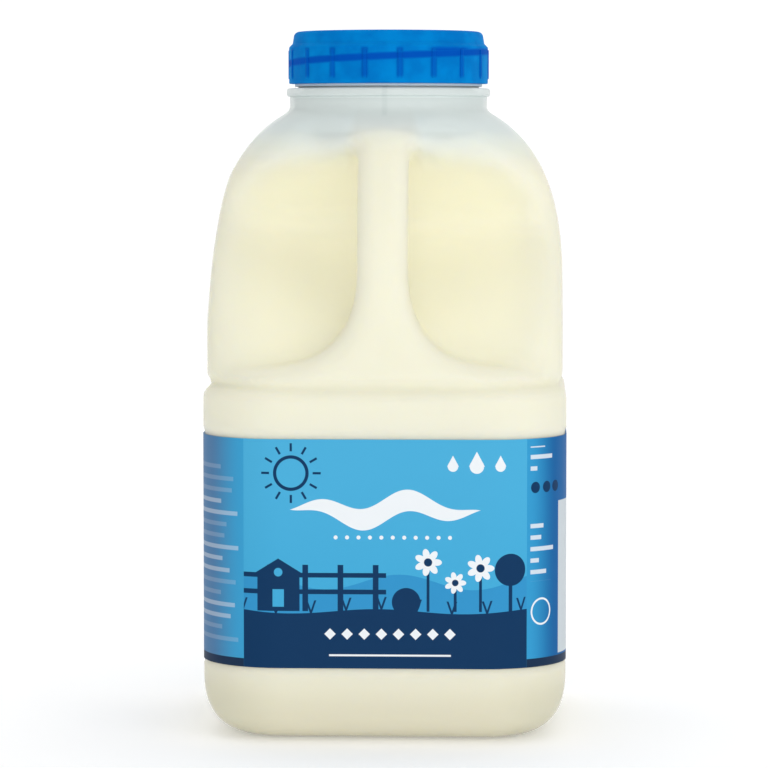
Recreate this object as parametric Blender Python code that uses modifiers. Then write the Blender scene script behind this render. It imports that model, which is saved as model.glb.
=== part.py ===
"""One-pint plastic milk jug: a blow-moulded bottle with a handle, its milk, its cap and its sleeve label.

Metres, +Z up. The origin is the middle of the foot, and the handle faces -Y.
The body's outside is where the function body() is zero, so that every edge can be rounded as a moulding is.
"""

import math

import bmesh
import bpy
import numpy as np
from mathutils import Matrix

# Lower body, a rounded square in plan
BODY_HALF = 0.0389
CORNER_RADIUS = 0.0175
HEEL_ROUNDING = 0.013
FOOT_HOLLOW_RADIUS = 0.021
FOOT_HOLLOW_DEPTH = 0.0022
FOOT_HOLLOW_ROUNDING = 0.0004
FOOT_SPHERE = (FOOT_HOLLOW_RADIUS**2 + FOOT_HOLLOW_DEPTH**2) / (2.0 * FOOT_HOLLOW_DEPTH)
LABEL_BOTTOM = 0.0160
LABEL_TOP = 0.0649
PANEL_MARGIN = 0.0004
PANEL_DEPTH = 0.0006
PANEL_EDGE = 0.0012
WAIST_Z = 0.0751
WAIST_DEPTH = 0.0012
WAIST_REACH = 0.0013

# Upper body and shoulder
UPPER_HALF = 0.0381
SHOULDER_START = 0.0953
SHOULDER_RISE = 0.0420
SHOULDER_POWER = 2.6
ROUND_AGAIN_Z = 0.1308

# Recess round the handle
LEDGE_Z = 0.0798
CEILING_Z = 0.1140
CEILING_SLOPE = 0.5
REAR_LOW_Y = -0.0270
REAR_HIGH_Y = -0.0030
REAR_SCOOP = 0.0045
CEILING_ROUNDING = 0.016
RIM_ROUNDING = 0.0045
RIM_WIDER_AT_SIDES = 0.6
RIM_WIDER_ABOVE = 2.4
CREASE_ROUNDING = 0.0035
COLUMN_HALF = 0.0054
COLUMN_DEPTH = 0.0115
COLUMN_FLARE = 0.020
COLUMN_ROUNDING = 0.006

# Neck, cap and walls
NECK_RADIUS = 0.0215
NECK_FILLET = 0.0016
COLLAR_RADIUS = 0.0222
COLLAR_LOW_Z = 0.1365
COLLAR_TOP_Z = 0.1383
COLLAR_CHAMFER = 0.0005
FINISH_RADIUS = 0.0197
FINISH_BORE = 0.0183
FINISH_TOP_Z = 0.1483
WALL = 0.0008
GAP = 0.0003
MILK_LEVEL = 0.1288
LABEL_THICKNESS = 0.0003
CAP_RADIUS = 0.0219
CAP_LOW_Z = 0.1393
CAP_SHOULDER_Z = 0.1478
CAP_TOP_Z = 0.1506
CAP_WALL = 0.0011
CAP_LIP_Z = 0.1387
CAP_EDGE = 0.0014
CAP_CLEARANCE = 0.0004
RIBS = 18
RIB_PHASE = 0.93
RIB_WIDTH = 0.0010
RIB_HEIGHT = 0.0003

# Meshing
NECK_STEPS = 44
CAP_STEPS = 52
CORNER_STEPS = 12


def smooth_step(value, start, end):
    """0 before start and 1 after end, easing between."""
    share = np.clip((value - start) / (end - start), 0.0, 1.0)
    return share * share * (3.0 - 2.0 * share)


def smooth_max(a, b, reach):
    """The larger of two distances, with the edge where they cross rounded over reach."""
    near = np.maximum(reach - np.abs(a - b), 0.0)
    return np.maximum(a, b) + near * near / (4.0 * reach)


def smooth_min(a, b, reach):
    """The smaller of two distances, with the corner where they cross filled over reach."""
    return -smooth_max(-a, -b, reach)


def half_width(z):
    """Half the body's width at a height: straight walls with a label panel and a waist, then the shoulder."""
    upper = smooth_step(z, WAIST_Z - WAIST_REACH, WAIST_Z + WAIST_REACH)
    straight = BODY_HALF + (UPPER_HALF - BODY_HALF) * upper
    low, high = LABEL_BOTTOM - PANEL_MARGIN, LABEL_TOP + PANEL_MARGIN
    panel = smooth_step(z, low - PANEL_EDGE, low) - smooth_step(z, high, high + PANEL_EDGE)
    waist = np.exp(-(((z - WAIST_Z) / WAIST_REACH) ** 2))
    rise = np.clip((z - SHOULDER_START) / SHOULDER_RISE, 0.0, 0.999)
    shoulder = (1.0 - rise**SHOULDER_POWER) ** (1.0 / SHOULDER_POWER)
    return (straight - PANEL_DEPTH * panel - WAIST_DEPTH * waist) * shoulder


def envelope(x, y, z):
    """Distance outside the body as it would be without its handle recess."""
    half = half_width(z)
    radius = CORNER_RADIUS + (half - CORNER_RADIUS) * smooth_step(z, SHOULDER_START, ROUND_AGAIN_Z)
    past_x = np.abs(x) - half + radius
    past_y = np.abs(y) - half + radius
    corner = np.hypot(np.maximum(past_x, 0.0), np.maximum(past_y, 0.0))
    walls = corner + np.minimum(np.maximum(past_x, past_y), 0.0) - radius
    standing = smooth_max(walls, -z, HEEL_ROUNDING)
    neck = np.hypot(x, y) - NECK_RADIUS
    with_neck = smooth_min(standing, smooth_max(neck, SHOULDER_START - z, FOOT_HOLLOW_ROUNDING), NECK_FILLET)
    hollow = np.hypot(np.hypot(x, y), z - FOOT_HOLLOW_DEPTH + FOOT_SPHERE) - FOOT_SPHERE
    return smooth_max(with_neck, -hollow, FOOT_HOLLOW_ROUNDING)


def recess(x, y, z):
    """Distance outside the space that is taken out in front of the upper body, less the handle's column."""
    lean = (REAR_HIGH_Y - REAR_LOW_Y) * smooth_step(z, LEDGE_Z, CEILING_Z)
    rear_y = REAR_LOW_Y + lean - REAR_SCOOP * (x / UPPER_HALF) ** 2
    column_back = -half_width(z) + COLUMN_DEPTH
    column = smooth_max(np.abs(x) - COLUMN_HALF, y - column_back, COLUMN_ROUNDING)
    floor = smooth_max(LEDGE_Z - z, -column, COLUMN_FLARE)
    ceiling = (z - CEILING_Z + CEILING_SLOPE * (y - REAR_HIGH_Y)) / math.hypot(1.0, CEILING_SLOPE)
    back = smooth_max(y - rear_y, ceiling, CEILING_ROUNDING)
    return smooth_max(floor, back, CREASE_ROUNDING)


def body(x, y, z):
    """Distance outside the bottle's body, handle included."""
    outward = smooth_step(np.abs(x), 2.0 * COLUMN_HALF, 5.0 * COLUMN_HALF)
    beside = smooth_step(np.abs(x), COLUMN_HALF, 3.0 * COLUMN_HALF)
    upward = smooth_step(z, CEILING_Z - CEILING_ROUNDING, CEILING_Z + CEILING_ROUNDING)
    wider = RIM_WIDER_AT_SIDES * outward + RIM_WIDER_ABOVE * upward * beside * (1.0 - outward)
    edge = RIM_ROUNDING * (1.0 + wider)
    return smooth_max(envelope(x, y, z), -recess(x, y, z), edge)


def surface_net(field, axes):
    """Points and four-sided faces where field is zero: a point in each grid cell that the surface crosses."""
    nodes = np.stack(np.meshgrid(*axes, indexing="ij"), axis=-1)
    values = field(*np.moveaxis(nodes, -1, 0))
    total = np.zeros([len(axis) - 1 for axis in axes] + [3])
    count = np.zeros(total.shape[:3])
    edges = []
    for along in range(3):
        step = np.eye(3, dtype=int)[along]
        across = [np.roll(step, 1), np.roll(step, 2)]
        before = tuple(slice(0, n - s) for s, n in zip(step, values.shape))
        after = tuple(slice(s, n) for s, n in zip(step, values.shape))
        change = (values[after] < 0.0).astype(int) - (values[before] < 0.0)
        share = np.where(change, values[before] / (values[before] - values[after] + (change == 0)), 0.0)
        crossing = nodes[before] + share[..., None] * (nodes[after] - nodes[before])
        for side_u in (0, 1):
            for side_v in (0, 1):
                shift = side_u * across[0] + side_v * across[1]
                part = tuple(slice(i, i + n) for i, n in zip(shift, count.shape))
                count += change[part] != 0
                total += crossing[part] * (change[part] != 0)[..., None]
        found = np.argwhere(change)
        inner = ((found - across[0] - across[1] >= 0) & (found < count.shape)).all(axis=1)
        edges.append((found[inner], change[tuple(found[inner].T)], across))
    points = total[count > 0] / count[count > 0][:, None]
    number = np.cumsum(count > 0).reshape(count.shape) - 1
    faces = []
    for found, change, across in edges:
        around = [found, found - across[1], found - across[0] - across[1], found - across[0]]
        ring = np.stack([number[tuple(cell.T)] for cell in around], axis=1)
        ring[change < 0] = ring[change < 0][:, ::-1]
        faces.append(ring)
    return points, np.concatenate(faces)


def settle(field, points, rounds=6, probe=1e-5):
    """Moves points along the field's slope until they lie on its zero surface."""
    for _ in range(rounds):
        value = field(*points.T)
        slope = np.stack(
            [
                (field(*(points + shift).T) - field(*(points - shift).T)) / (2.0 * probe)
                for shift in np.eye(3) * probe
            ],
            axis=1,
        )
        points = points - slope * (value / np.maximum((slope**2).sum(axis=1), 0.05))[:, None]
    return points


def grid_line(*stretches):
    """Grid values along an axis, from stretches of (start, end, number of cells)."""
    return np.unique(np.concatenate([np.linspace(start, end, cells + 1) for start, end, cells in stretches]))


def material(name, colour, roughness, metallic=0.0):
    """A Principled material."""
    made = bpy.data.materials.new(name)
    made.use_nodes = True
    shader = made.node_tree.nodes["Principled BSDF"]
    shader.inputs["Base Color"].default_value = (*colour, 1.0)
    shader.inputs["Roughness"].default_value = roughness
    shader.inputs["Metallic"].default_value = metallic
    return made


def put(collection, name, mesh, finish=None):
    """An object of a mesh in a collection, smooth shaded."""
    made = bpy.data.objects.new(name, mesh)
    collection.objects.link(made)
    if finish is not None:
        mesh.materials.clear()
        mesh.materials.append(finish)
    mesh.shade_smooth()
    return made


def guide(made):
    """Marks an object as one that shapes others and isn't part of the model."""
    made.hide_render = True
    made.display_type = "WIRE"
    return made


def applied(made):
    """A new mesh of an object with its modifiers applied."""
    evaluated = made.evaluated_get(bpy.context.evaluated_depsgraph_get())
    return bpy.data.meshes.new_from_object(evaluated)


def turned(collection, name, outline, steps, finish=None):
    """A solid turned from (radius, height) points that run down its outer side and back up its bore."""
    mesh = bpy.data.meshes.new(name)
    closed = outline[0][0] > 0.0
    edges = [(i, i + 1) for i in range(len(outline) - 1)]
    if closed:
        edges.append((len(outline) - 1, 0))
    mesh.from_pydata([(radius, 0.0, height) for radius, height in outline], edges, [])
    made = put(collection, name, mesh, finish)
    screw = made.modifiers.new("turn", "SCREW")
    screw.steps = steps
    screw.render_steps = steps
    screw.use_merge_vertices = True
    screw.merge_threshold = 0.00001
    return made


def body_skin():
    """The bottle's outer surface as one light mesh, open at the neck."""
    side = BODY_HALF + PANEL_EDGE
    middle = 2.0 * COLUMN_HALF
    front = -BODY_HALF + COLUMN_DEPTH
    across = grid_line((-side, -middle, 5), (-middle, middle, 6), (middle, side, 5))
    deep = grid_line((-side, front, 3), (front, REAR_HIGH_Y, 4), (REAR_HIGH_Y, side, 7))
    low, high = LABEL_BOTTOM - PANEL_MARGIN, LABEL_TOP + PANEL_MARGIN
    upward = grid_line(
        (-FOOT_HOLLOW_DEPTH, low - 1.5 * PANEL_EDGE, 5),
        (low - 1.5 * PANEL_EDGE, low + 0.5 * PANEL_EDGE, 2),
        (low + 0.5 * PANEL_EDGE, high - 0.5 * PANEL_EDGE, 1),
        (high - 0.5 * PANEL_EDGE, high + 1.5 * PANEL_EDGE, 2),
        (high + 1.5 * PANEL_EDGE, WAIST_Z - 1.5 * WAIST_REACH, 1),
        (WAIST_Z - 1.5 * WAIST_REACH, WAIST_Z + 1.5 * WAIST_REACH, 3),
        (WAIST_Z + 1.5 * WAIST_REACH, LEDGE_Z + COLUMN_HALF, 3),
        (LEDGE_Z + COLUMN_HALF, CEILING_Z - COLUMN_HALF, 5),
        (CEILING_Z - COLUMN_HALF, ROUND_AGAIN_Z, 6),
        (ROUND_AGAIN_Z, COLLAR_LOW_Z, 2),
        (COLLAR_LOW_Z, COLLAR_TOP_Z, 1),
    )
    points, faces = surface_net(body, (across, deep, upward))
    mesh = bpy.data.meshes.new("skin")
    mesh.from_pydata(settle(body, points).tolist(), [], faces.tolist())
    work = bmesh.new()
    work.from_mesh(mesh)
    bmesh.ops.triangulate(work, faces=work.faces)
    work.to_mesh(mesh)
    work.free()
    return mesh


def neck_finish(guides):
    """The collar, with the plain ring above it that the cap closes on."""
    root_bore = NECK_RADIUS - 2.0 * WALL
    outline = [
        (FINISH_RADIUS, FINISH_TOP_Z),
        (FINISH_RADIUS, COLLAR_TOP_Z),
        (COLLAR_RADIUS - COLLAR_CHAMFER, COLLAR_TOP_Z),
        (COLLAR_RADIUS, COLLAR_TOP_Z - COLLAR_CHAMFER),
        (COLLAR_RADIUS, COLLAR_LOW_Z + COLLAR_CHAMFER),
        (COLLAR_RADIUS - COLLAR_CHAMFER, COLLAR_LOW_Z),
        (root_bore, COLLAR_LOW_Z),
        (FINISH_BORE, COLLAR_TOP_Z),
        (FINISH_BORE, FINISH_TOP_Z),
    ]
    return guide(turned(guides, "neck_finish", outline, NECK_STEPS))


def bottle(parts, guides, skin):
    """The bottle's wall with its neck finish."""
    finish = material("bottle_plastic", (0.86, 0.86, 0.76), 0.38)
    made = put(parts, "bottle", skin.copy(), finish)
    wall = made.modifiers.new("wall", "SOLIDIFY")
    wall.thickness = WALL
    wall.offset = -1.0
    join = made.modifiers.new("neck", "BOOLEAN")
    join.operation = "UNION"
    join.object = neck_finish(guides)
    return made


def milk(parts, skin):
    """The milk, up to its level, a gap inside the bottle's wall."""
    finish = material("milk", (0.90, 0.87, 0.70), 0.3)
    made = put(parts, "milk", skin.copy(), finish)
    shrink = made.modifiers.new("shrink", "DISPLACE")
    shrink.mid_level = 0.0
    shrink.strength = -(WALL + GAP)
    filled = applied(made)
    work = bmesh.new()
    work.from_mesh(filled)
    bmesh.ops.bisect_plane(
        work,
        geom=[*work.verts, *work.edges, *work.faces],
        plane_co=(0.0, 0.0, MILK_LEVEL),
        plane_no=(0.0, 0.0, 1.0),
        clear_outer=True,
    )
    rim = [edge for edge in work.edges if edge.is_boundary]
    bmesh.ops.holes_fill(work, edges=rim)
    bmesh.ops.triangulate(work, faces=work.faces)
    work.to_mesh(filled)
    work.free()
    made.modifiers.clear()
    made.data = filled
    return made


def ring_outline(half, radius, steps):
    """Points round a square with round corners: an arc of steps at each corner, and flat sides between."""
    centre = half - radius
    for corner_x, corner_y, quarter in ((1, 1, 0), (-1, 1, 1), (-1, -1, 2), (1, -1, 3)):
        for step in range(steps + 1):
            turn = (quarter + step / steps) * math.pi / 2.0
            yield corner_x * centre + radius * math.cos(turn), corner_y * centre + radius * math.sin(turn)


def label(parts):
    """The sleeve round the label panel."""
    finish = material("label_film", (0.08, 0.42, 0.74), 0.35)
    stand_off = GAP + LABEL_THICKNESS
    outline = list(ring_outline(BODY_HALF - PANEL_DEPTH + stand_off, CORNER_RADIUS + stand_off, CORNER_STEPS))
    count = len(outline)
    heights = (LABEL_BOTTOM + GAP, LABEL_TOP - GAP)
    points = [(x, y, z) for z in heights for x, y in outline]
    faces = [(n, (n + 1) % count, count + (n + 1) % count, count + n) for n in range(count)]
    mesh = bpy.data.meshes.new("label")
    mesh.from_pydata(points, [], faces)
    made = put(parts, "label", mesh, finish)
    film = made.modifiers.new("film", "SOLIDIFY")
    film.thickness = LABEL_THICKNESS
    film.offset = -1.0
    return made


def cap_ribs(guides):
    """The grip ribs round the cap's skirt, as one mesh of closed bars."""
    mesh = bpy.data.meshes.new("ribs")
    work = bmesh.new()
    low = CAP_LOW_Z + CAP_CLEARANCE
    high = CAP_SHOULDER_Z - CAP_CLEARANCE
    for n in range(RIBS):
        turn = 2.0 * math.pi * (n + RIB_PHASE) / RIBS
        bar = bmesh.ops.create_cube(work, size=1.0)["verts"]
        bmesh.ops.scale(work, vec=(CAP_WALL, RIB_WIDTH, high - low), verts=bar)
        reach = CAP_RADIUS - CAP_WALL / 2.0
        bmesh.ops.translate(work, vec=(reach, 0.0, (low + high) / 2.0), verts=bar)
        bmesh.ops.rotate(work, cent=(0.0, 0.0, 0.0), matrix=Matrix.Rotation(turn, 3, "Z"), verts=bar)
    work.to_mesh(mesh)
    work.free()
    return guide(put(guides, "cap_ribs", mesh))


def cap(parts, guides):
    """The screw cap: a ribbed skirt with a softened shoulder, and a thin lip inside its lower edge."""
    finish = material("cap_plastic", (0.0, 0.20, 0.68), 0.35)
    skirt = CAP_RADIUS - RIB_HEIGHT
    lip = skirt - CAP_EDGE
    bore = FINISH_RADIUS + CAP_CLEARANCE
    outline = [
        (0.0, CAP_TOP_Z),
        (skirt - 2.0 * CAP_EDGE, CAP_TOP_Z),
        (skirt - CAP_EDGE, CAP_TOP_Z - RIB_HEIGHT),
        (skirt - RIB_HEIGHT, CAP_TOP_Z - CAP_EDGE),
        (skirt, CAP_SHOULDER_Z),
        (skirt, CAP_LOW_Z),
        (lip, CAP_LOW_Z),
        (lip, CAP_LIP_Z),
        (bore, CAP_LIP_Z),
        (bore, FINISH_TOP_Z + GAP),
        (0.0, FINISH_TOP_Z + GAP),
    ]
    made = turned(parts, "cap", outline, CAP_STEPS, finish)
    join = made.modifiers.new("grip", "BOOLEAN")
    join.operation = "UNION"
    join.object = cap_ribs(guides)
    return made


def main():
    for old in list(bpy.data.objects):
        bpy.data.objects.remove(old)
    parts = bpy.data.collections.new("milk_jug")
    guides = bpy.data.collections.new("guides")
    bpy.context.scene.collection.children.link(parts)
    bpy.context.scene.collection.children.link(guides)
    skin = body_skin()
    bottle(parts, guides, skin)
    milk(parts, skin)
    label(parts)
    cap(parts, guides)


main()
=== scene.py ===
import math

import bmesh
import bpy
import numpy as np
from mathutils import Matrix, Vector


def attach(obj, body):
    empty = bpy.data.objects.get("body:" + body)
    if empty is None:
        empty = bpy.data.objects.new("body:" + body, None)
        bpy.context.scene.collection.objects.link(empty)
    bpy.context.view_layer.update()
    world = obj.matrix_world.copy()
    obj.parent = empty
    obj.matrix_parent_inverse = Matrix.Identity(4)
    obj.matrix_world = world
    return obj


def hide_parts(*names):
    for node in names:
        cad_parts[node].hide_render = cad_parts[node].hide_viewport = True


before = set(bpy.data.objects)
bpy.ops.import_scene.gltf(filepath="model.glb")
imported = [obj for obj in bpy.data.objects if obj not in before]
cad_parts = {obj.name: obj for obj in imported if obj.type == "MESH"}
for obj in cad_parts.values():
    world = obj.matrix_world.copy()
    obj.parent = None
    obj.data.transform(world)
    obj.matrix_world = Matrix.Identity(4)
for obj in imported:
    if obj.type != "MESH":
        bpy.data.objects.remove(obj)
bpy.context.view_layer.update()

# The jug's driving dimensions, in metres, as its solids have them
BODY_HALF = 0.0389
CORNER_RADIUS = 0.0175
HEEL_ROUNDING = 0.013
FOOT_HOLLOW_RADIUS = 0.021
FOOT_HOLLOW_DEPTH = 0.0022
FOOT_HOLLOW_ROUNDING = 0.0004
FOOT_SPHERE = (FOOT_HOLLOW_RADIUS**2 + FOOT_HOLLOW_DEPTH**2) / (2.0 * FOOT_HOLLOW_DEPTH)
LABEL_BOTTOM = 0.0160
LABEL_TOP = 0.0649
WAIST_Z = 0.0751
WAIST_DEPTH = 0.0012
WAIST_REACH = 0.0013
UPPER_HALF = 0.0381
SHOULDER_START = 0.0953
SHOULDER_RISE = 0.0420
SHOULDER_POWER = 2.6
ROUND_AGAIN_Z = 0.1308
LEDGE_Z = 0.0798
CEILING_Z = 0.1140
CEILING_SLOPE = 0.5
REAR_LOW_Y = -0.0270
REAR_HIGH_Y = -0.0030
REAR_SCOOP = 0.0045
CEILING_ROUNDING = 0.016
RIM_ROUNDING = 0.0045
RIM_WIDER_AT_SIDES = 0.6
RIM_WIDER_ABOVE = 2.4
CREASE_ROUNDING = 0.0035
COLUMN_HALF = 0.0054
COLUMN_DEPTH = 0.0115
COLUMN_FLARE = 0.020
COLUMN_ROUNDING = 0.006
NECK_RADIUS = 0.0215
NECK_FILLET = 0.0016
COLLAR_RADIUS = 0.0222
COLLAR_LOW_Z = 0.1365
COLLAR_TOP_Z = 0.1383
FINISH_RADIUS = 0.0197
FINISH_BORE = 0.0183
FINISH_TOP_Z = 0.1483
WALL = 0.0008
MILK_LEVEL = 0.1288
CAP_RADIUS = 0.0219
CAP_LOW_Z = 0.1393
CAP_LIP_Z = 0.1387
CAP_TOP_Z = 0.1506
RIBS = 18
RIB_PHASE = 0.93

# The label's panel, shallower than in the solids, so that the film lies flush with the body
PANEL_MARGIN = 0.0002
PANEL_DEPTH = 0.0003
PANEL_EDGE = 0.0006

# Surface grid of the bottle and its milk
GRID_STEP = 0.0010
MILK_INTO_WALL = 0.00062

# The photograph's camera: its image is 768 pixels wide, and lengths there are in pixels
IMAGE_SIZE = 768
FOCAL_PIXELS = 3650.0
AXIS_PIXEL_X = 388.5
CAMERA_AZIMUTH = math.radians(2.2)
CAMERA_DISTANCE = 0.80
CAMERA_HEIGHT = 0.1291
CAMERA_PITCH = math.radians(3.97)
SENSOR_WIDTH = 36.0


# Camera, light and floor

def make_camera():
    """The camera at the photograph's angle: a little above the shoulder, turned slightly to the right."""
    across = Vector((math.cos(CAMERA_AZIMUTH), math.sin(CAMERA_AZIMUTH), 0.0))
    ahead = Vector((-math.sin(CAMERA_AZIMUTH), math.cos(CAMERA_AZIMUTH), 0.0))
    yaw = math.atan((AXIS_PIXEL_X - IMAGE_SIZE / 2.0) / FOCAL_PIXELS)
    level_view = ahead * math.cos(yaw) - across * math.sin(yaw)
    right = across * math.cos(yaw) + ahead * math.sin(yaw)
    view = level_view * math.cos(CAMERA_PITCH) - Vector((0.0, 0.0, math.sin(CAMERA_PITCH)))
    up = right.cross(view)
    data = bpy.data.cameras.new("camera")
    data.sensor_width = SENSOR_WIDTH
    data.lens = SENSOR_WIDTH * FOCAL_PIXELS / IMAGE_SIZE
    camera = bpy.data.objects.new("camera", data)
    turn = Matrix((right, up, -view)).transposed()
    place = Vector((0.0, 0.0, CAMERA_HEIGHT)) - ahead * CAMERA_DISTANCE
    camera.matrix_world = Matrix.Translation(place) @ turn.to_4x4()
    bpy.context.scene.collection.objects.link(camera)
    bpy.context.scene.camera = camera


def area_light(name, place, target, size, power):
    """A square soft white light that faces a target."""
    data = bpy.data.lights.new(name, "AREA")
    data.size = size
    data.energy = power
    light = bpy.data.objects.new(name, data)
    light.location = place
    light.rotation_euler = (Vector(target) - Vector(place)).to_track_quat("-Z", "Y").to_euler()
    bpy.context.scene.collection.objects.link(light)


def make_backdrop():
    """The floor, which curves up into a wall far behind the jug."""
    reach = 3.0
    start = 1.0
    radius = 1.2
    profile = [(-reach, 0.0), (start, 0.0)]
    for step in range(1, 17):
        turn = math.pi / 2.0 * step / 16.0
        profile.append((start + radius * math.sin(turn), radius * (1.0 - math.cos(turn))))
    profile.append((start + radius, reach))
    points = [(side * reach, y, z) for y, z in profile for side in (-1.0, 1.0)]
    faces = [(2 * n, 2 * n + 1, 2 * n + 3, 2 * n + 2) for n in range(len(profile) - 1)]
    mesh = bpy.data.meshes.new("floor")
    mesh.from_pydata(points, [], faces)
    mesh.shade_smooth()
    return bpy.data.objects.new("floor", mesh)


def make_studio():
    """A pale floor, a bright surrounding, and soft lights in front, at the right, above and on the far wall."""
    scene = bpy.context.scene
    scene.view_settings.view_transform = "Standard"
    world = bpy.data.worlds.new("studio")
    world.use_nodes = True
    background = world.node_tree.nodes["Background"]
    background.inputs["Color"].default_value = (1.0, 1.0, 1.0, 1.0)
    background.inputs["Strength"].default_value = 0.59
    scene.world = world
    middle = (0.0, 0.0, 0.08)
    area_light("key", (0.55, -0.60, 0.42), middle, 0.5, 0.9)
    area_light("front", (0.10, -1.10, 0.24), middle, 0.6, 2.15)
    area_light("top", (0.0, 0.05, 0.75), middle, 0.6, 0.6)
    area_light("backdrop light", (0.0, 0.6, 1.6), (0.0, 2.2, 0.3), 1.5, 8.0)
    floor = make_backdrop()
    scene.collection.objects.link(floor)
    finish = bpy.data.materials.new("floor_paint")
    finish.use_nodes = True
    shader = finish.node_tree.nodes["Principled BSDF"]
    shader.inputs["Base Color"].default_value = (0.93, 0.93, 0.93, 1.0)
    shader.inputs["Roughness"].default_value = 0.8
    shader.inputs["Emission Color"].default_value = (1.0, 1.0, 1.0, 1.0)
    shader.inputs["Emission Strength"].default_value = 0.20
    floor.data.materials.append(finish)


# The bottle's form, as a distance that is zero on its outside

def smooth_step(value, start, end):
    """0 before start and 1 after end, easing between."""
    share = np.clip((value - start) / (end - start), 0.0, 1.0)
    return share * share * (3.0 - 2.0 * share)


def smooth_max(a, b, reach):
    """The larger of two distances, with the edge where they cross rounded over reach."""
    near = np.maximum(reach - np.abs(a - b), 0.0)
    return np.maximum(a, b) + near * near / (4.0 * reach)


def smooth_min(a, b, reach):
    """The smaller of two distances, with the corner where they cross filled over reach."""
    return -smooth_max(-a, -b, reach)


def half_width(z):
    """Half the body's width at a height: straight walls with a label panel and a waist, then the shoulder."""
    upper = smooth_step(z, WAIST_Z - WAIST_REACH, WAIST_Z + WAIST_REACH)
    straight = BODY_HALF + (UPPER_HALF - BODY_HALF) * upper
    low, high = LABEL_BOTTOM - PANEL_MARGIN, LABEL_TOP + PANEL_MARGIN
    panel = smooth_step(z, low - PANEL_EDGE, low) - smooth_step(z, high, high + PANEL_EDGE)
    waist = np.exp(-(((z - WAIST_Z) / WAIST_REACH) ** 2))
    rise = np.clip((z - SHOULDER_START) / SHOULDER_RISE, 0.0, 0.999)
    shoulder = (1.0 - rise**SHOULDER_POWER) ** (1.0 / SHOULDER_POWER)
    return (straight - PANEL_DEPTH * panel - WAIST_DEPTH * waist) * shoulder


def envelope(x, y, z):
    """Distance outside the body as it would be without its handle recess."""
    half = half_width(z)
    radius = CORNER_RADIUS + (half - CORNER_RADIUS) * smooth_step(z, SHOULDER_START, ROUND_AGAIN_Z)
    past_x = np.abs(x) - half + radius
    past_y = np.abs(y) - half + radius
    corner = np.hypot(np.maximum(past_x, 0.0), np.maximum(past_y, 0.0))
    walls = corner + np.minimum(np.maximum(past_x, past_y), 0.0) - radius
    standing = smooth_max(walls, -z, HEEL_ROUNDING)
    neck = np.hypot(x, y) - NECK_RADIUS
    with_neck = smooth_min(standing, smooth_max(neck, SHOULDER_START - z, FOOT_HOLLOW_ROUNDING), NECK_FILLET)
    hollow = np.hypot(np.hypot(x, y), z - FOOT_HOLLOW_DEPTH + FOOT_SPHERE) - FOOT_SPHERE
    return smooth_max(with_neck, -hollow, FOOT_HOLLOW_ROUNDING)


def recess(x, y, z):
    """Distance outside the space that is taken out in front of the upper body, less the handle's column."""
    lean = (REAR_HIGH_Y - REAR_LOW_Y) * smooth_step(z, LEDGE_Z, CEILING_Z)
    rear_y = REAR_LOW_Y + lean - REAR_SCOOP * (x / UPPER_HALF) ** 2
    column_back = -half_width(z) + COLUMN_DEPTH
    column = smooth_max(np.abs(x) - COLUMN_HALF, y - column_back, COLUMN_ROUNDING)
    floor = smooth_max(LEDGE_Z - z, -column, COLUMN_FLARE)
    ceiling = (z - CEILING_Z + CEILING_SLOPE * (y - REAR_HIGH_Y)) / math.hypot(1.0, CEILING_SLOPE)
    back = smooth_max(y - rear_y, ceiling, CEILING_ROUNDING)
    return smooth_max(floor, back, CREASE_ROUNDING)


def body(x, y, z):
    """Distance outside the bottle's body, handle included."""
    outward = smooth_step(np.abs(x), 2.0 * COLUMN_HALF, 5.0 * COLUMN_HALF)
    beside = smooth_step(np.abs(x), COLUMN_HALF, 3.0 * COLUMN_HALF)
    upward = smooth_step(z, CEILING_Z - CEILING_ROUNDING, CEILING_Z + CEILING_ROUNDING)
    wider = RIM_WIDER_AT_SIDES * outward + RIM_WIDER_ABOVE * upward * beside * (1.0 - outward)
    edge = RIM_ROUNDING * (1.0 + wider)
    return smooth_max(envelope(x, y, z), -recess(x, y, z), edge)


def bore(x, y, z):
    """Distance outside the bottle's hollow."""
    return body(x, y, z) + WALL


def milk_line(x, y):
    """Height of the milk's edge on the wall: it clings in two low swags beside the handle."""
    swag = 0.0011 * np.cos(2.0 * math.pi * x / 0.0232) * (1.0 - smooth_step(np.abs(x), 0.018, 0.024))
    return MILK_LEVEL + swag * smooth_step(-y, 0.008, 0.020)


def milk_body(x, y, z):
    """Distance outside the milk, which reaches just into the wall."""
    return smooth_max(body(x, y, z) + WALL - MILK_INTO_WALL, z - milk_line(x, y), 0.0012)


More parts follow.
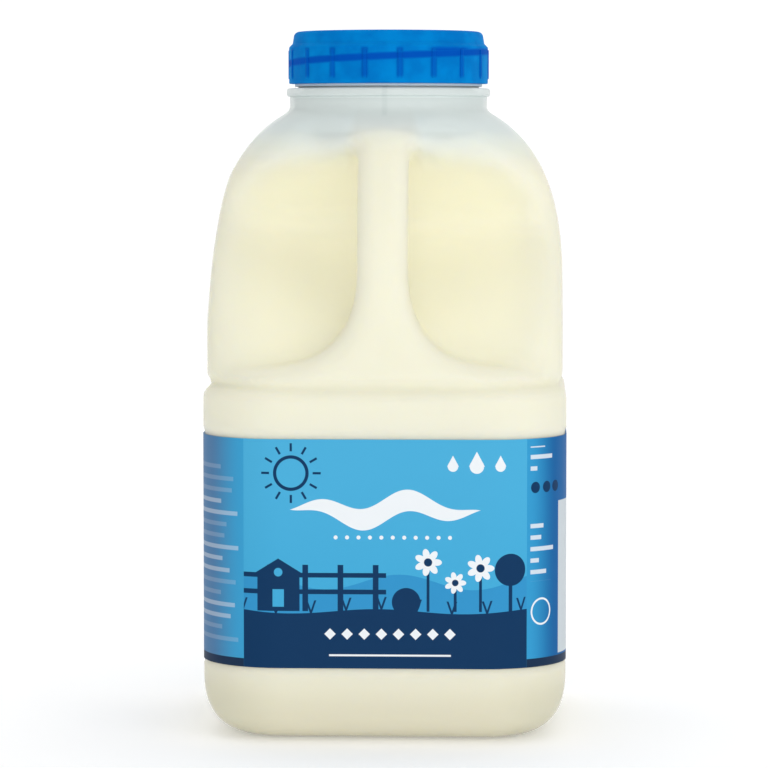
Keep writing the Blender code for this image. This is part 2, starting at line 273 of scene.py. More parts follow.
def surface_net(field, axes):
    """Points and four-sided faces where field is zero: a point in each grid cell that the surface crosses."""
    nodes = np.stack(np.meshgrid(*axes, indexing="ij"), axis=-1)
    values = field(*np.moveaxis(nodes, -1, 0))
    total = np.zeros([len(axis) - 1 for axis in axes] + [3])
    count = np.zeros(total.shape[:3])
    edges = []
    for along in range(3):
        step = np.eye(3, dtype=int)[along]
        across = [np.roll(step, 1), np.roll(step, 2)]
        before = tuple(slice(0, n - s) for s, n in zip(step, values.shape))
        after = tuple(slice(s, n) for s, n in zip(step, values.shape))
        change = (values[after] < 0.0).astype(int) - (values[before] < 0.0)
        share = np.where(change, values[before] / (values[before] - values[after] + (change == 0)), 0.0)
        crossing = nodes[before] + share[..., None] * (nodes[after] - nodes[before])
        for side_u in (0, 1):
            for side_v in (0, 1):
                shift = side_u * across[0] + side_v * across[1]
                part = tuple(slice(i, i + n) for i, n in zip(shift, count.shape))
                count += change[part] != 0
                total += crossing[part] * (change[part] != 0)[..., None]
        found = np.argwhere(change)
        inner = ((found - across[0] - across[1] >= 0) & (found < count.shape)).all(axis=1)
        edges.append((found[inner], change[tuple(found[inner].T)], across))
    points = total[count > 0] / count[count > 0][:, None]
    number = np.cumsum(count > 0).reshape(count.shape) - 1
    faces = []
    for found, change, across in edges:
        around = [found, found - across[1], found - across[0] - across[1], found - across[0]]
        ring = np.stack([number[tuple(cell.T)] for cell in around], axis=1)
        ring[change < 0] = ring[change < 0][:, ::-1]
        faces.append(ring)
    return points, np.concatenate(faces)


def settle(field, points, rounds=4, probe=1e-5):
    """Moves points along the field's slope until they lie on its zero surface."""
    for _ in range(rounds):
        value = field(*points.T)
        slope = np.stack(
            [
                (field(*(points + shift).T) - field(*(points - shift).T)) / (2.0 * probe)
                for shift in np.eye(3) * probe
            ],
            axis=1,
        )
        points = points - slope * (value / np.maximum((slope**2).sum(axis=1), 0.05))[:, None]
    return points


def grid_axes(top):
    """The grid's values along X, Y and Z, up to a height."""
    side = BODY_HALF + 2.0 * GRID_STEP
    flat = np.linspace(-side, side, round(2.0 * side / GRID_STEP) + 1)
    low = -2.0 * FOOT_HOLLOW_DEPTH
    upward = np.linspace(low, top, round((top - low) / GRID_STEP) + 1)
    return flat, flat, upward


# Meshes

def mesh_object(name, points, faces, finish):
    """A smooth-shaded object from points and faces, with one material."""
    mesh = bpy.data.meshes.new(name)
    mesh.from_pydata(np.asarray(points).tolist(), [], np.asarray(faces).tolist())
    mesh.materials.append(finish)
    mesh.shade_smooth()
    made = bpy.data.objects.new(name, mesh)
    bpy.context.scene.collection.objects.link(made)
    return made


def depth_attribute(made):
    """Stores on each point how far it lies inside the plain envelope, in centimetres."""
    mesh = made.data
    points = np.empty(len(mesh.vertices) * 3)
    mesh.vertices.foreach_get("co", points)
    points = points.reshape(-1, 3)
    values = mesh.attributes.new("recess_depth", "FLOAT", "POINT")
    values.data.foreach_set("value", (-100.0 * envelope(*points.T)).astype(np.float32))


def turned(name, outline, steps, finish):
    """A turned shape from (radius, height) points that run down its outer side."""
    mesh = bpy.data.meshes.new(name)
    edges = [(i, i + 1) for i in range(len(outline) - 1)]
    if outline[0][0] > 0.0:
        edges.append((len(outline) - 1, 0))
    mesh.from_pydata([(radius, 0.0, height) for radius, height in outline], edges, [])
    made = bpy.data.objects.new(name, mesh)
    bpy.context.scene.collection.objects.link(made)
    screw = made.modifiers.new("turn", "SCREW")
    screw.steps = steps
    screw.render_steps = steps
    screw.use_merge_vertices = True
    screw.merge_threshold = 0.00001
    mesh.materials.append(finish)
    return made


def apply_modifiers(made):
    """Turns an object's modifiers into its mesh."""
    evaluated = made.evaluated_get(bpy.context.evaluated_depsgraph_get())
    mesh = bpy.data.meshes.new_from_object(evaluated)
    made.modifiers.clear()
    made.data = mesh


def rounded(corners, steps=5):
    """An outline from (radius, height, rounding) corners, each rounding an arc of steps."""
    outline = []
    count = len(corners)
    for n, (radius, height, rounding) in enumerate(corners):
        here = Vector((radius, height))
        if rounding == 0.0:
            outline.append((radius, height))
            continue
        before = Vector(corners[n - 1][:2])
        after = Vector(corners[(n + 1) % count][:2])
        back = (before - here).normalized()
        on = (after - here).normalized()
        reach = rounding / math.tan(back.angle(on) / 2.0)
        start = here + back * reach
        end = here + on * reach
        centre = here + (back + on).normalized() * math.hypot(reach, rounding)
        first = start - centre
        swing = first.angle_signed(end - centre)
        for step in range(steps + 1):
            turn = -swing * step / steps
            spin = Matrix.Rotation(turn, 2)
            outline.append(tuple(centre + spin @ first))
    return outline


# Materials

class Nodes:
    """Short calls that add nodes to a material and give back their output sockets."""

    def __init__(self, name):
        self.material = bpy.data.materials.new(name)
        self.material.use_nodes = True
        self.tree = self.material.node_tree
        self.shader = self.tree.nodes["Principled BSDF"]

    def feed(self, socket, value):
        """Links a socket to an input, or sets the input to a number or colour."""
        if isinstance(value, bpy.types.NodeSocket):
            self.tree.links.new(value, socket)
        elif isinstance(value, tuple) and len(value) == 3 and socket.type == "RGBA":
            socket.default_value = (*value, 1.0)
        else:
            socket.default_value = value

    def math(self, operation, a, b=0.0, c=0.0):
        node = self.tree.nodes.new("ShaderNodeMath")
        node.operation = operation
        for socket, value in zip(node.inputs, (a, b, c)):
            self.feed(socket, value)
        return node.outputs[0]

    def add(self, a, b):
        return self.math("ADD", a, b)

    def subtract(self, a, b):
        return self.math("SUBTRACT", a, b)

    def times(self, a, b):
        return self.math("MULTIPLY", a, b)

    def step(self, value, start, end):
        """0 before start and 1 after end, easing between."""
        node = self.tree.nodes.new("ShaderNodeMapRange")
        node.interpolation_type = "SMOOTHSTEP"
        self.feed(node.inputs["Value"], value)
        node.inputs["From Min"].default_value = start
        node.inputs["From Max"].default_value = end
        return node.outputs[0]

    def mix(self, share, a, b):
        """Colour a where share is 0 and b where it is 1."""
        node = self.tree.nodes.new("ShaderNodeMix")
        node.data_type = "RGBA"
        self.feed(node.inputs[0], share)
        self.feed(node.inputs[6], a)
        self.feed(node.inputs[7], b)
        return node.outputs[2]

    def place(self):
        """The point's X, Y and Z on the object, in metres."""
        source = self.tree.nodes.new("ShaderNodeTexCoord").outputs["Object"]
        node = self.tree.nodes.new("ShaderNodeSeparateXYZ")
        self.tree.links.new(source, node.inputs[0])
        return node.outputs

    def noise(self, scale, detail=3.0, stretch=(1.0, 1.0, 1.0)):
        """Noise from about 0 to 1, with scale in waves per metre."""
        source = self.tree.nodes.new("ShaderNodeTexCoord").outputs["Object"]
        mapping = self.tree.nodes.new("ShaderNodeMapping")
        mapping.inputs["Scale"].default_value = stretch
        node = self.tree.nodes.new("ShaderNodeTexNoise")
        node.inputs["Scale"].default_value = scale
        node.inputs["Detail"].default_value = detail
        self.tree.links.new(source, mapping.inputs[0])
        self.tree.links.new(mapping.outputs[0], node.inputs["Vector"])
        return node.outputs["Fac"]

    def attribute(self, name):
        node = self.tree.nodes.new("ShaderNodeAttribute")
        node.attribute_name = name
        return node.outputs["Fac"]

    def bump(self, height, distance, strength=1.0):
        node = self.tree.nodes.new("ShaderNodeBump")
        node.inputs["Distance"].default_value = distance
        node.inputs["Strength"].default_value = strength
        self.feed(node.inputs["Height"], height)
        self.tree.links.new(node.outputs[0], self.shader.inputs["Normal"])

    def set(self, **values):
        """Sets the shader's inputs, with underscores for the spaces in their names."""
        for name, value in values.items():
            self.feed(self.shader.inputs[name.replace("_", " ")], value)


def column_lift(ink, x, y):
    """How much higher the milk shows in the column, whose walls lie close together."""
    beside = ink.step(ink.math("ABSOLUTE", x), COLUMN_HALF, COLUMN_HALF + 0.0035)
    behind = ink.step(y, -0.012, -0.006)
    return ink.times(ink.times(ink.subtract(1.0, beside), ink.subtract(1.0, behind)), 0.0045)


def milk_finish():
    """Cream milk, with painted shade deeper in the recess and at the foot, and a faint painted glow in the
    recess for light from behind.
    """
    ink = Nodes("milk_finish")
    x, y, z = ink.place()
    depth = ink.attribute("recess_depth")
    # Painted shade in the recess, from how deep each point lies inside the envelope
    shaded = ink.step(depth, 0.25, 1.5)
    # Painted shade towards the foot, and darker still towards the foot's left and right sides
    low = ink.subtract(1.0, ink.step(z, 0.006, 0.018))
    side = ink.step(ink.math("ABSOLUTE", x), 0.018, 0.037)
    high = ink.step(ink.subtract(z, column_lift(ink, x, y)), MILK_LEVEL - 0.010, MILK_LEVEL)
    cream = ink.mix(shaded, (0.965, 0.935, 0.745), (0.97, 0.935, 0.70))
    cream = ink.mix(low, cream, (0.80, 0.755, 0.56))
    cream = ink.mix(ink.times(side, low), cream, (0.68, 0.65, 0.46))
    ink.set(Base_Color=ink.mix(ink.times(high, 0.8), cream, (0.88, 0.91, 0.84)), Roughness=0.5)
    # A painted glow in the recess, for light that comes through the milk from behind
    ink.set(Emission_Color=ink.mix(shaded, (0.0, 0.0, 0.0), (0.10, 0.094, 0.074)), Emission_Strength=1.0)
    ink.shader.inputs["Specular IOR Level"].default_value = 0.2
    ink.shader.inputs["Subsurface Weight"].default_value = 0.5
    ink.shader.inputs["Subsurface Radius"].default_value = (1.0, 0.9, 0.6)
    ink.shader.inputs["Subsurface Scale"].default_value = 0.010
    return ink.material


def bottle_finish():
    """Natural plastic, cloudier above the milk, with the soft orange-peel skin of a blow moulding."""
    ink = Nodes("bottle_finish")
    haze = ink.noise(60.0, 3.0)
    grain = ink.noise(900.0, 2.0)
    x, y, z = ink.place()
    above = ink.step(ink.subtract(z, column_lift(ink, x, y)), MILK_LEVEL - 0.009, MILK_LEVEL + 0.001)
    seam = ink.subtract(1.0, ink.step(ink.math("ABSOLUTE", x), 0.0002, 0.0009))
    seam = ink.times(seam, ink.step(z, MILK_LEVEL + 0.003, MILK_LEVEL + 0.004))
    clear = ink.mix(haze, (0.94, 0.93, 0.84), (0.96, 0.95, 0.88))
    cloudy = ink.mix(haze, (0.86, 0.94, 0.93), (0.90, 0.98, 0.96))
    collar = ink.step(z, COLLAR_LOW_Z - 0.0006, COLLAR_LOW_Z - 0.0001)
    plastic = ink.mix(above, clear, cloudy)
    ink.set(Base_Color=ink.mix(ink.times(seam, 0.2), plastic, (0.50, 0.60, 0.60)), Roughness=0.36)
    ink.set(Alpha=ink.add(ink.add(ink.times(above, 0.26), 0.30), ink.times(collar, 0.14)))
    ink.shader.inputs["Specular IOR Level"].default_value = 0.4
    ink.bump(ink.add(ink.times(haze, 0.5), ink.times(grain, 0.06)), 0.0006, 0.4)
    return ink.material


def cap_finish():
    """Blue plastic that light enters a little, with painted shade where the thread and the ribs thicken and
    shadow it.
    """
    ink = Nodes("cap_finish")
    x, y, z = ink.place()
    around = ink.math("ARCTAN2", x, ink.times(y, -1.0))
    turn = ink.math("MULTIPLY", around, 0.5 / math.pi)
    thread_front = CAP_LOW_Z + 0.0057
    pitch = 0.0058
    height = ink.subtract(ink.subtract(z, thread_front), ink.times(turn, pitch))
    thread = ink.subtract(1.0, ink.step(ink.math("ABSOLUTE", height), 0.0004, 0.0011))
    off_second = ink.math("ABSOLUTE", ink.subtract(height, 0.0014))
    second_reach = ink.times(ink.step(turn, 0.06, 0.09), ink.step(ink.times(turn, -1.0), -0.17, -0.14))
    second = ink.times(ink.subtract(1.0, ink.step(off_second, 0.0006, 0.0014)), second_reach)
    thread = ink.math("MAXIMUM", thread, second)
    below_top = ink.subtract(1.0, ink.step(z, CAP_TOP_Z - 0.0042, CAP_TOP_Z - 0.0032))
    above_lip = ink.step(z, CAP_LOW_Z + 0.0008, CAP_LOW_Z + 0.0018)
    skirt = ink.times(below_top, above_lip)
    rib_cell = ink.math("WRAP", ink.subtract(ink.times(turn, RIBS), RIB_PHASE - 0.5), 0.5, -0.5)
    rib = ink.subtract(1.0, ink.step(ink.math("ABSOLUTE", rib_cell), 0.05, 0.15))
    # Painted shade along the thread band and the ribs
    shadow = ink.math("MAXIMUM", thread, ink.times(rib, 0.7))
    shadow = ink.times(shadow, skirt)
    cloud = ink.step(ink.noise(150.0, 3.0), 0.35, 0.65)
    blue = ink.mix(cloud, (0.0, 0.180, 0.57), (0.0, 0.240, 0.66))
    blue = ink.mix(shadow, blue, (0.0, 0.085, 0.49))
    # Painted light: the lip is coloured pale so that it shows bright in the shade under the cap
    lip = ink.subtract(1.0, ink.step(z, CAP_LOW_Z - 0.0002, CAP_LOW_Z))
    ink.set(Base_Color=ink.mix(lip, blue, (0.72, 0.82, 0.88)), Roughness=0.6)
    ink.shader.inputs["Specular IOR Level"].default_value = 0.015
    ink.shader.inputs["Subsurface Weight"].default_value = 0.15
    ink.shader.inputs["Subsurface Radius"].default_value = (0.2, 0.6, 1.0)
    ink.shader.inputs["Subsurface Scale"].default_value = 0.002
    ink.bump(ink.noise(700.0, 2.0), 0.0002, 0.25)
    return ink.material


# Label print, on a map whose U runs round the sleeve from the front's middle and whose V is height, in metres
PRINT_EDGE = 0.00006
PANEL_LEFT = -0.0294
PANEL_RIGHT = 0.0310
PANEL_MIDDLE = 0.0008
BAND_TOP = 0.0284
POST_SPACING = 0.0074
ROW_SPACING = 0.00243
BARN_MIDDLE = -0.0217
BARN_EAVES = BAND_TOP + 0.0075


class Print(Nodes):
    """Flat shapes of a print, each a mask that is 1 inside, from the label map's U and V."""

    def __init__(self, name, half_round):
        super().__init__(name)
        source = self.tree.nodes.new("ShaderNodeUVMap")
        source.uv_map = "print"
        split = self.tree.nodes.new("ShaderNodeSeparateXYZ")
        self.tree.links.new(source.outputs[0], split.inputs[0])
        self.u = self.math("WRAP", split.outputs[0], half_round / 2.0, -half_round / 2.0)
        self.v = split.outputs[1]

    def inside(self, distance):
        """1 where a distance is below zero."""
        return self.subtract(1.0, self.step(distance, -PRINT_EDGE, PRINT_EDGE))

    def both(self, a, b):
        return self.times(a, b)

    def either(self, a, b):
        return self.math("MAXIMUM", a, b)

    def distance(self, u, v):
        """Distance from a point."""
        across = self.subtract(self.u, u)
        up = self.subtract(self.v, v)
        return self.math("SQRT", self.add(self.times(across, across), self.times(up, up)))

    def disc(self, u, v, radius):
        return self.inside(self.subtract(self.distance(u, v), radius))

    def ring(self, u, v, radius, width):
        off = self.math("ABSOLUTE", self.subtract(self.distance(u, v), radius))
        return self.inside(self.subtract(off, width / 2.0))

    def between(self, value, low, high):
        """1 where a value lies between two limits."""
        off = self.math("ABSOLUTE", self.subtract(value, (low + high) / 2.0))
        return self.inside(self.subtract(off, (high - low) / 2.0))

    def block(self, left, right, low, high):
        return self.both(self.between(self.u, left, right), self.between(self.v, low, high))

    def wave(self, height, length, shift=0.0):
        """A wave along U."""
        turn = self.times(self.add(self.u, shift), 2.0 * math.pi / length)
        return self.times(self.math("SINE", turn), height)

    def repeat(self, value, spacing):
        """A value folded into a row of like cells, each from minus half a spacing to plus half."""
        return self.math("WRAP", value, spacing / 2.0, -spacing / 2.0)


def ribbon(ink, middle, height, reach, swing, thickness):
    """A white wave of milk that tapers to both ends."""
    along = ink.subtract(ink.u, middle)
    share = ink.math("ABSOLUTE", ink.times(along, 1.0 / reach))
    taper = ink.math("MAXIMUM", ink.subtract(1.0, ink.times(share, share)), 0.0)
    turn = ink.times(along, 2.0 * math.pi / (reach * 1.05))
    crest = ink.times(ink.times(ink.math("SINE", turn), swing), taper)
    off = ink.math("ABSOLUTE", ink.subtract(ink.subtract(ink.v, height), crest))
    body_mask = ink.inside(ink.subtract(off, ink.times(taper, thickness)))
    return ink.both(body_mask, ink.between(along, -reach, reach))


def drop(ink, u, v, size):
    """A drop: a disc with a point above it."""
    round_end = ink.disc(u, v, size)
    along = ink.math("ABSOLUTE", ink.subtract(ink.u, u))
    up = ink.subtract(ink.v, v)
    cone = ink.subtract(ink.add(ink.times(along, 1.9), up), size * 2.1)
    point = ink.both(ink.inside(cone), ink.inside(ink.times(up, -1.0)))
    return ink.either(round_end, point)


def daisy(ink, u, v, size):
    """Petals as a wavy disc, and the heart as a small disc."""
    across = ink.subtract(ink.u, u)
    up = ink.subtract(ink.v, v)
    turn = ink.math("ARCTAN2", up, across)
    petal = ink.times(ink.math("ABSOLUTE", ink.math("COSINE", ink.times(turn, 3.5))), 0.45)
    edge = ink.times(ink.add(petal, 0.55), size)
    petals = ink.inside(ink.subtract(ink.distance(u, v), edge))
    return petals, ink.disc(u, v, size * 0.30)


def sun(ink, u, v, radius):
    """An outlined disc with short rays."""
    across = ink.subtract(ink.u, u)
    up = ink.subtract(ink.v, v)
    turn = ink.math("ARCTAN2", up, across)
    away = ink.distance(u, v)
    spoke = ink.math("ABSOLUTE", ink.math("SINE", ink.times(turn, 6.0)))
    side = ink.inside(ink.subtract(ink.times(ink.times(spoke, away), 1.0 / 6.0), 0.00024))
    rays = ink.both(side, ink.between(away, radius * 1.35, radius * 1.85))
    return ink.either(ink.ring(u, v, radius, 0.0007), rays)


def label_finish(half_round):
    """A generic dairy print: sky, hills, a barn, a fence and daisies over a dark band, with side panels."""
    ink = Print("label_finish", half_round)
    white = (0.86, 0.90, 0.93)
    navy = (0.004, 0.038, 0.115)
    hill_blue = (0.035, 0.30, 0.60)
    front = ink.between(ink.u, PANEL_LEFT, PANEL_RIGHT)
    right_side = ink.inside(ink.subtract(PANEL_RIGHT, ink.u))
    rise = ink.step(ink.v, LABEL_BOTTOM, LABEL_TOP)
    left_side = ink.inside(ink.subtract(ink.u, PANEL_LEFT))
    sky = ink.mix(rise, (0.052, 0.400, 0.69), (0.072, 0.430, 0.71))
    # Painted shade: the right side panel darkens as it turns round the corner
    corner_shade = ink.step(ink.u, PANEL_RIGHT, 0.0400)
    colour = ink.mix(right_side, sky, ink.mix(corner_shade, (0.036, 0.33, 0.63), (0.004, 0.12, 0.36)))
    # Painted reflection: the left side panel turns a purple grey as it turns round the corner
    outward = ink.step(ink.times(ink.u, -1.0), -PANEL_LEFT, 0.0400)
    side_blue_with_reflection = ink.mix(outward, (0.045, 0.35, 0.64), (0.075, 0.20, 0.39))
    colour = ink.mix(left_side, colour, side_blue_with_reflection)
    # Hills, with grass tufts on the nearer one
    far_hill = ink.inside(ink.subtract(ink.v, ink.add(ink.wave(0.0016, 0.031, 0.004), BAND_TOP + 0.0062)))
    colour = ink.mix(ink.both(far_hill, front), colour, hill_blue)
    ground = ink.subtract(ink.v, ink.add(ink.wave(0.0005, 0.036, 0.010), BAND_TOP))
    tuft_cell = ink.math("ABSOLUTE", ink.repeat(ink.u, POST_SPACING))
    blade = ink.math("ABSOLUTE", ink.subtract(tuft_cell, ink.times(ground, 0.35)))
    tufts = ink.both(ink.inside(ink.subtract(blade, 0.00022)), ink.between(ground, -0.001, 0.0026))
    near_hill = ink.either(ink.inside(ground), tufts)
    # Fence: posts and two rails
    post_cell = ink.repeat(ink.add(ink.u, 0.0012), POST_SPACING)
    posts = ink.both(ink.between(post_cell, -0.0006, 0.0006), ink.between(ink.v, BAND_TOP, BAND_TOP + 0.0098))
    rails = ink.either(
        ink.between(ink.v, BAND_TOP + 0.0036, BAND_TOP + 0.0046),
        ink.between(ink.v, BAND_TOP + 0.0071, BAND_TOP + 0.0081),
    )
    fence_reach = ink.between(ink.u, PANEL_LEFT, 0.0010)
    fence = ink.both(ink.either(posts, rails), fence_reach)
    colour = ink.mix(ink.both(ink.either(near_hill, fence), front), colour, navy)
    # A barn at the fence, a round tree and a bush
    barn = ink.block(BARN_MIDDLE - 0.0045, BARN_MIDDLE + 0.0045, BAND_TOP, BARN_EAVES)
    from_ridge = ink.math("ABSOLUTE", ink.subtract(ink.u, BARN_MIDDLE))
    slope = ink.add(ink.times(from_ridge, 0.62), ink.subtract(ink.v, BARN_EAVES))
    roof = ink.both(ink.inside(ink.subtract(slope, 0.0036)), ink.inside(ink.subtract(BARN_EAVES, ink.v)))
    colour = ink.mix(ink.either(barn, roof), colour, navy)
    door = ink.block(BARN_MIDDLE - 0.0012, BARN_MIDDLE + 0.0012, BAND_TOP + 0.0009, BAND_TOP + 0.0046)
    window = ink.disc(BARN_MIDDLE, BARN_EAVES + 0.0007, 0.0009)
    colour = ink.mix(ink.either(door, window), colour, sky)
    trunk = ink.block(0.0268, 0.0276, BAND_TOP, BAND_TOP + 0.0060)
    tree = ink.either(ink.disc(0.0272, BAND_TOP + 0.0088, 0.0034), trunk)
    colour = ink.mix(ink.either(tree, ink.disc(0.0052, BAND_TOP + 0.0020, 0.0030)), colour, navy)
    # Daisies beside the fence
    for u, v, size in ((0.0098, 0.0388, 0.0029), (0.0155, 0.0345, 0.0023), (0.0208, 0.0376, 0.0029)):
        stem = ink.block(u - 0.0003, u + 0.0003, BAND_TOP, v)
        petals, heart = daisy(ink, u, v, size)
        colour = ink.mix(stem, colour, navy)
        colour = ink.mix(petals, colour, white)
        colour = ink.mix(heart, colour, navy)
    # In the sky: a sun, a ribbon, drops and a row of dots
    colour = ink.mix(ink.both(sun(ink, -0.0190, 0.0575, 0.0034), front), colour, navy)
    colour = ink.mix(ribbon(ink, PANEL_MIDDLE, 0.0498, 0.0200, 0.0022, 0.0024), colour, white)
    for n, size in enumerate((0.0011, 0.0015, 0.0011)):
        colour = ink.mix(drop(ink, 0.0150 + 0.0050 * n, 0.0590, size), colour, white)
    dots = ink.inside(ink.subtract(ink.math("SQRT", ink.add(
        ink.math("POWER", ink.repeat(ink.u, 0.0024), 2.0),
        ink.math("POWER", ink.subtract(ink.v, 0.0440), 2.0),
    )), 0.00042))
    colour = ink.mix(ink.both(dots, ink.between(ink.u, -0.0108, 0.0148)), colour, white)
    # Pale marks on the dark band
    off_row = ink.math("ABSOLUTE", ink.subtract(ink.v, 0.0236))
    diamond = ink.add(ink.math("ABSOLUTE", ink.repeat(ink.u, 0.0036)), off_row)
    diamonds = ink.both(ink.inside(ink.subtract(diamond, 0.0012)), ink.between(ink.u, -0.0126, 0.0162))
    colour = ink.mix(diamonds, colour, white)
    colour = ink.mix(ink.block(-0.0110, 0.0146, 0.0189, 0.0193), colour, white)
    # Side panels: rows of short bars, discs, a ring, a pale field, and a dark strip at the foot
    row = ink.between(ink.repeat(ink.v, ROW_SPACING), -0.00045, 0.00045)
    number = ink.math("ROUND", ink.times(ink.v, 1.0 / ROW_SPACING))
    ragged = ink.times(ink.math("SINE", ink.times(number, 2.3)), 0.0026)
    shown = ink.inside(ink.math("SINE", ink.add(ink.times(number, 1.31), 2.6)))
    left_rows = ink.both(row, ink.inside(ink.subtract(ink.u, ink.add(ragged, -0.0333))))
    left_rows = ink.both(left_rows, ink.both(ink.between(ink.v, 0.0205, 0.0590), left_side))
    colour = ink.mix(ink.times(left_rows, ink.add(ink.times(shown, 0.2), 0.12)), colour, white)
    right_rows = ink.both(row, ink.inside(ink.subtract(ink.u, ink.add(ragged, 0.0362))))
    lower_reach = ink.block(0.0319, 0.0392, 0.0345, 0.0480)
    right_reach = ink.either(lower_reach, ink.block(0.0319, 0.0392, 0.0575, 0.0630))
    colour = ink.mix(ink.times(ink.both(right_rows, right_reach), 0.75), colour, white)
    for u in (0.0332, 0.0365, 0.0396):
        colour = ink.mix(ink.disc(u, 0.0543, 0.0012), colour, navy)
    colour = ink.mix(ink.ring(0.0349, 0.0280, 0.0027, 0.0004), colour, white)
    field = ink.block(0.0410, 0.0600, 0.0185, 0.0510)
    colour = ink.mix(field, colour, (0.62, 0.68, 0.72))
    foot = ink.both(ink.inside(ink.subtract(ink.v, 0.0181)), ink.either(left_side, right_side))
    colour = ink.mix(foot, colour, (0.010, 0.030, 0.075))
    ink.set(Base_Color=colour, Roughness=0.5)
    ink.shader.inputs["Specular IOR Level"].default_value = 0.08
    ink.bump(ink.noise(45.0, 2.0, (1.0, 1.0, 0.35)), 0.0008, 0.25)
    return ink.material


# Pieces

def make_bottle():
    """The bottle's skin, its inner wall and the rim that joins them inside the collar."""
    axes = grid_axes((COLLAR_LOW_Z + COLLAR_TOP_Z) / 2.0 + 0.0003)
    finish = bottle_finish()
    outer_points, outer_faces = surface_net(body, axes)
    inner_points, inner_faces = surface_net(bore, axes)
    points = np.concatenate([settle(body, outer_points), settle(bore, inner_points)])
    faces = np.concatenate([outer_faces, inner_faces[:, ::-1] + len(outer_points)])
    made = mesh_object("bottle_wall", points, faces, finish)
    work = bmesh.new()
    work.from_mesh(made.data)
    rims = [edge for edge in work.edges if edge.is_boundary]
    bmesh.ops.bridge_loops(work, edges=rims)
    work.to_mesh(made.data)
    work.free()
    made.data.shade_smooth()
    return made


def make_neck_finish():
    """The collar and the ring above it that the cap closes on."""
    root_bore = NECK_RADIUS - WALL - 0.0008
    corners = [
        (FINISH_RADIUS, FINISH_TOP_Z, 0.0004),
        (FINISH_RADIUS, COLLAR_TOP_Z, 0.0),
        (COLLAR_RADIUS, COLLAR_TOP_Z, 0.0006),
        (COLLAR_RADIUS, COLLAR_LOW_Z, 0.0005),
        (root_bore, COLLAR_LOW_Z, 0.0003),
        (FINISH_BORE, COLLAR_TOP_Z, 0.0003),
        (FINISH_BORE, FINISH_TOP_Z, 0.0004),
    ]
    made = turned("neck_collar", rounded(corners), 160, bottle_finish())
    apply_modifiers(made)
    made.data.shade_smooth()
    return made


def make_milk():
    """The milk."""
    axes = grid_axes(MILK_LEVEL + 0.004)
    points, faces = surface_net(milk_body, axes)
    made = mesh_object("milk_fill", settle(milk_body, points), faces, milk_finish())
    depth_attribute(made)
    return made


def make_label():
    """The sleeve: its film reaches just into the panel, and it has a map in metres for its print."""
    outside = BODY_HALF
    film = PANEL_DEPTH + 0.00005
    radius = CORNER_RADIUS + PANEL_DEPTH
    straight = outside - radius
    arc = radius * math.pi / 2.0
    perimeter = 8.0 * straight + 4.0 * arc
    finish = label_finish(perimeter / 2.0)
    heights = np.linspace(LABEL_BOTTOM + 0.0003, LABEL_TOP - 0.0003, 25)
    columns = []
    steps = 400
    for n in range(steps + 1):
        u = perimeter * (n / steps - 0.5)
        columns.append((u, *ring_point(u, straight, radius, perimeter)))
    points = []
    faces = []
    rows = len(heights)
    for side in (0.0, film):
        for u, x, y, away_x, away_y in columns[:-1]:
            for z in heights:
                points.append((x - side * away_x, y - side * away_y, z))
    ring = steps * rows
    coords = []
    for n in range(steps):
        following = (n + 1) % steps
        for m in range(rows - 1):
            outer = (n * rows + m, following * rows + m, following * rows + m + 1, n * rows + m + 1)
            faces.append(outer)
            coords.append([(columns[n + a][0], heights[m + b]) for a, b in ((0, 0), (1, 0), (1, 1), (0, 1))])
            faces.append(tuple(ring + corner for corner in reversed(outer)))
            coords.append([(columns[n + a][0], heights[m + b]) for a, b in ((0, 1), (1, 1), (1, 0), (0, 0))])
        for m, order in ((0, 1), (rows - 1, -1)):
            edge = (n * rows + m, ring + n * rows + m, ring + following * rows + m, following * rows + m)
            faces.append(edge[::order])
            coords.append([(columns[n + a][0], heights[m]) for a in (0, 0, 1, 1)][::order])
    mesh = bpy.data.meshes.new("label_sleeve")
    mesh.from_pydata(points, [], faces)
    layer = mesh.uv_layers.new(name="print")
    corners = [pair for face in coords for pair in face]
    layer.data.foreach_set("uv", np.array(corners, dtype=np.float32).ravel())
    mesh.materials.append(finish)
    mesh.shade_smooth()
    mesh.set_sharp_from_angle(angle=math.radians(40.0))
    made = bpy.data.objects.new("label_sleeve", mesh)
    bpy.context.scene.collection.objects.link(made)
    return made


def ring_point(u, straight, radius, perimeter):
    """Point and outward direction on the rounded square, at a distance u round it from the front's middle."""
    arc = radius * math.pi / 2.0
    quarter = 2.0 * straight + arc
    along = u % perimeter + straight
    side = int(along // quarter) % 4
    rest = along % quarter
    if rest < 2.0 * straight:
        local = (rest - straight, -(straight + radius), 0.0, -1.0)
    else:
        turn = (rest - 2.0 * straight) / radius
        away = (math.sin(turn), -math.cos(turn))
        local = (straight + radius * away[0], -straight + radius * away[1], *away)
    x, y, away_x, away_y = local
    for _ in range(side):
        x, y = -y, x
        away_x, away_y = -away_y, away_x
    return x, y, away_x, away_y


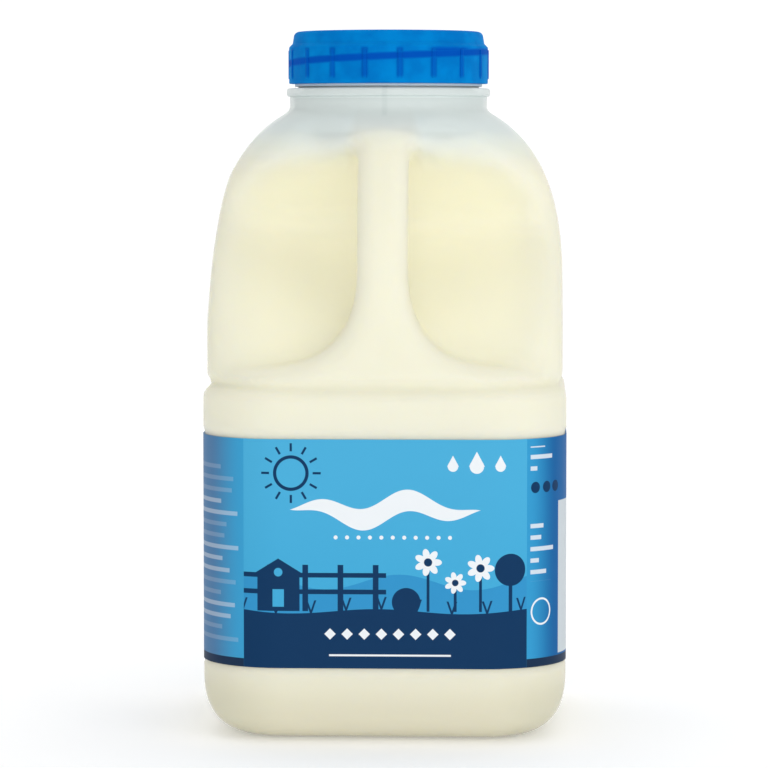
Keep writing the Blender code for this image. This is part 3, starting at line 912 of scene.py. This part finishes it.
def make_cap():
    """The cap: a low disc stepped in from a ribbed skirt, with a thin lip inside its lower edge."""
    skirt = CAP_RADIUS - 0.0002
    disc = skirt - 0.0012
    bore_radius = FINISH_RADIUS + 0.0004
    lip = skirt - 0.0013
    step_z = CAP_TOP_Z - 0.0034
    corners = [
        (0.0, CAP_TOP_Z, 0.0),
        (disc, CAP_TOP_Z, 0.0012),
        (disc + 0.0004, step_z + 0.0008, 0.0005),
        (skirt, step_z, 0.0006),
        (skirt, CAP_LOW_Z, 0.0002),
        (lip, CAP_LOW_Z, 0.0),
        (lip, CAP_LIP_Z, 0.0),
        (bore_radius, CAP_LIP_Z, 0.0),
        (bore_radius, FINISH_TOP_Z + 0.0003, 0.0),
        (0.0, FINISH_TOP_Z + 0.0003, 0.0),
    ]
    finish = cap_finish()
    made = turned("cap_shell", rounded(corners), 200, finish)
    apply_modifiers(made)
    made.data.shade_smooth()
    made.data.set_sharp_from_angle(angle=math.radians(50.0))
    return made, make_ribs(skirt, step_z, finish)


def make_ribs(skirt, step_z, finish):
    """The grip ribs round the skirt, low rounded bars."""
    mesh = bpy.data.meshes.new("cap_ribs")
    work = bmesh.new()
    low = CAP_LOW_Z + 0.0010
    high = step_z - 0.0006
    deep = 0.0008
    width = 0.0009
    proud = 0.0002
    middle = skirt + proud - deep / 2.0
    for n in range(RIBS):
        turn = 2.0 * math.pi * (n + RIB_PHASE) / RIBS
        bar = bmesh.ops.create_cube(work, size=1.0)["verts"]
        bmesh.ops.scale(work, vec=(deep, width, high - low), verts=bar)
        bmesh.ops.translate(work, vec=(middle, 0.0, (low + high) / 2.0), verts=bar)
        bmesh.ops.rotate(work, cent=(0.0, 0.0, 0.0), matrix=Matrix.Rotation(turn, 3, "Z"), verts=bar)
    bmesh.ops.bevel(work, geom=work.edges[:], offset=0.00015, segments=2, affect="EDGES", profile=0.5)
    work.to_mesh(mesh)
    work.free()
    mesh.materials.append(finish)
    mesh.shade_smooth()
    made = bpy.data.objects.new("cap_ribs", mesh)
    bpy.context.scene.collection.objects.link(made)
    return made


def dress(piece, node):
    """Puts a piece on the jug's body in place of a node."""
    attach(piece, "root")
    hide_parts(node)


def main():
    make_camera()
    make_studio()
    dress(make_bottle(), "bottle")
    dress(make_neck_finish(), "bottle")
    dress(make_milk(), "milk")
    dress(make_label(), "label")
    for piece in make_cap():
        dress(piece, "cap")


main()
